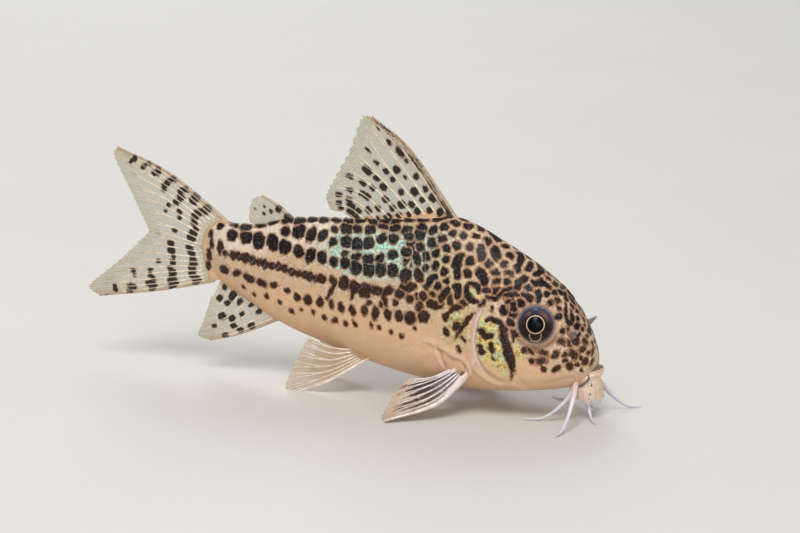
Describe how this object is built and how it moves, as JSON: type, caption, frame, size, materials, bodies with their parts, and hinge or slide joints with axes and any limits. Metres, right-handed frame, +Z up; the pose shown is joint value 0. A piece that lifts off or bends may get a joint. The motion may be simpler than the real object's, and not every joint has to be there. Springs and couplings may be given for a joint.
{
  "type": "corydoras catfish",
  "caption": "Small armoured catfish in life size, at rest on its barbels and paired fins, with a tall dorsal fin and a forked tail.",
  "frame": {"origin": "middle of the bounding box at floor level, under the fish", "axes": "+X towards the snout, +Y to the fish's left, +Z up"},
  "size_m": [0.0755, 0.0254, 0.0359],
  "materials": {
    "skin": "wet scute armour, tan with dark spots, satin",
    "fin": "thin wet membrane on paler rays, dark spots, satin",
    "eye": "wet, clear and glossy",
    "barbel": "soft pale wet skin, satin"
  },
  "bodies": {
    "root": {"head": "skin", "trunk": "skin", "tail": "skin", "gill_cover_left": "skin", "gill_cover_right": "skin", "eye_left": "eye", "eye_right": "eye", "dorsal_fin": "fin", "adipose_fin": "fin", "caudal_lobe_upper": "fin", "caudal_lobe_lower": "fin", "anal_fin": "fin", "pectoral_fin_left": "fin", "pectoral_fin_right": "fin", "pelvic_fin_left": "fin", "pelvic_fin_right": "fin", "upper_lip": "skin", "lower_lip": "barbel", "nostril_flap_left": "skin", "nostril_flap_right": "skin", "maxillary_barbel_left": "barbel", "maxillary_barbel_right": "barbel", "rictal_barbel_left": "barbel", "rictal_barbel_right": "barbel", "mental_barbel_left": "barbel", "mental_barbel_right": "barbel"}
  },
  "joints": []
}
